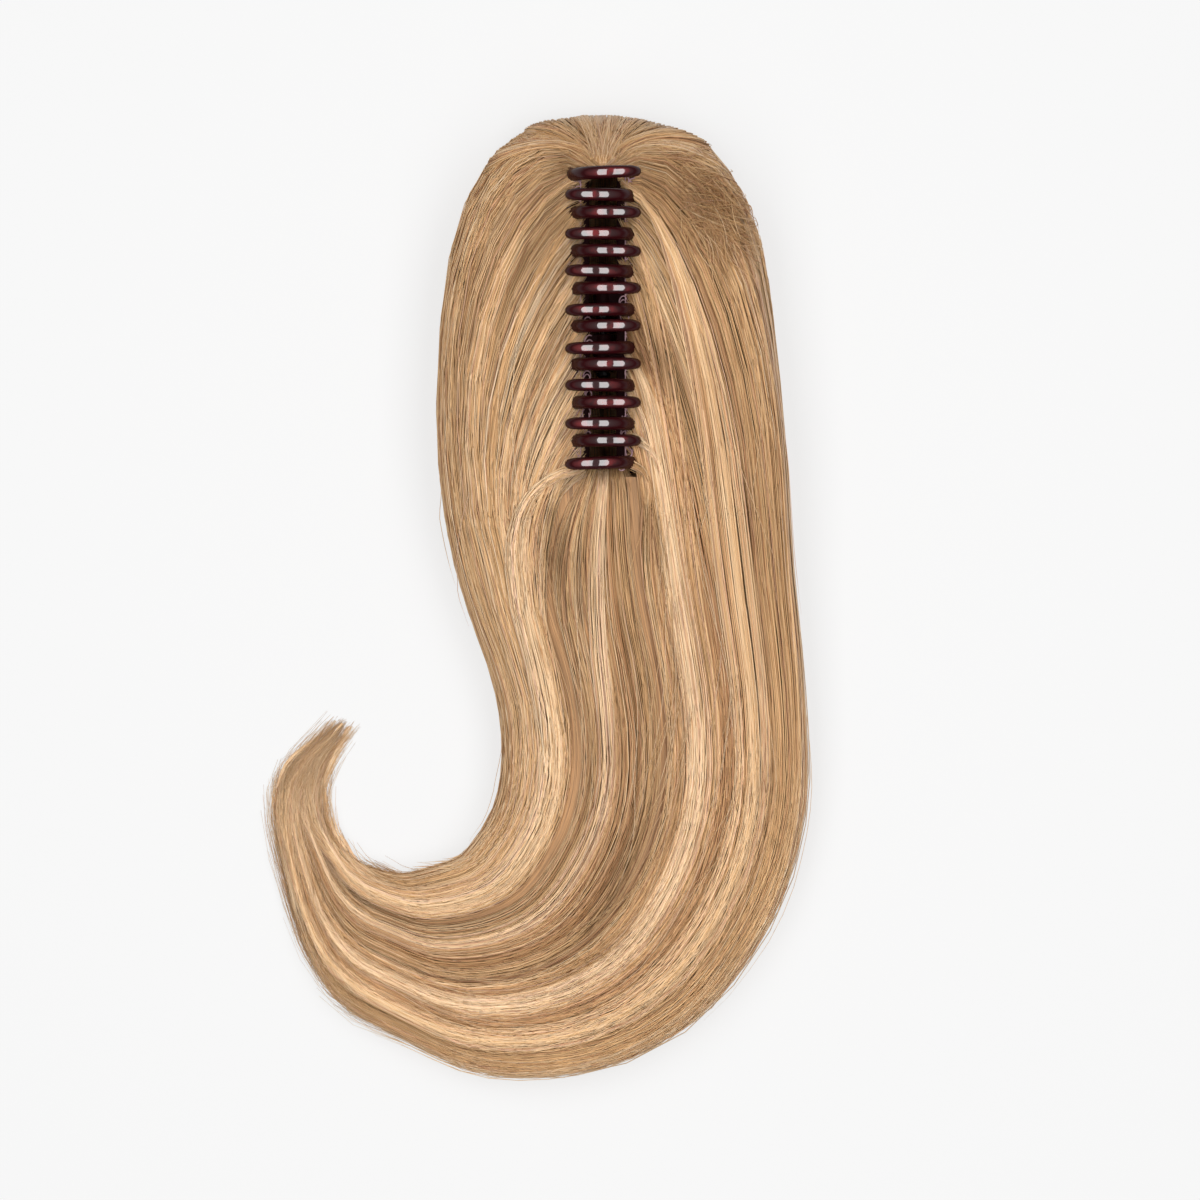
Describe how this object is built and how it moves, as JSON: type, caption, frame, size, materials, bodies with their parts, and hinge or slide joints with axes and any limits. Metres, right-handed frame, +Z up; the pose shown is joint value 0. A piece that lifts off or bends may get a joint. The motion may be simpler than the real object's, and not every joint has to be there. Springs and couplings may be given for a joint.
{
  "type": "ponytail hairpiece",
  "caption": "Clip-on ponytail of long blonde hair on a toothed burgundy claw clip, lying clip side up, its tail curled into a hook",
  "frame": {"origin": "under the middle of the clip, on the surface that the hairpiece lies on", "axes": "+X across the clip to its right jaw, +Y along the clip to the crown, +Z up, where the clip's teeth point"},
  "size_m": [0.1793, 0.3239, 0.0557],
  "materials": {
    "hair": "fine straight synthetic hair, golden blonde with paler and browner strands, soft sheen",
    "claw": "polished burgundy resin, slightly see-through, with a wet gloss",
    "net": "coarse mauve-brown net thread",
    "pin": "plain drawn steel",
    "spring": "dark spring wire"
  },
  "bodies": {
    "hair": {"hair_tail": "hair", "hair_left": "hair", "hair_right": "hair", "hinge_pin": "pin", "spring": "spring"},
    "right_claw": {"jaw_right": "claw", "net_right": "net"},
    "left_claw": {"jaw_left": "claw", "net_left": "net"}
  },
  "joints": [
    {"name": "right_hinge", "type": "hinge", "parent": "hair", "child": "right_claw", "pos_m": [0, 0, 0.026], "axis": [0, 1, 0], "range_deg": [0, 40], "stiffness_Nm_per_rad": 0.03, "springref_deg": -57.3, "deforming": ["hair_right", "spring"]},
    {"name": "left_hinge", "type": "hinge", "parent": "hair", "child": "left_claw", "pos_m": [0, 0, 0.026], "axis": [0, -1, 0], "range_deg": [0, 40], "stiffness_Nm_per_rad": 0.03, "springref_deg": -57.3, "deforming": ["hair_left", "spring"]}
  ],
  "couplings": [
    {"joint": "left_hinge", "follows": "right_hinge", "ratio": 1}
  ]
}
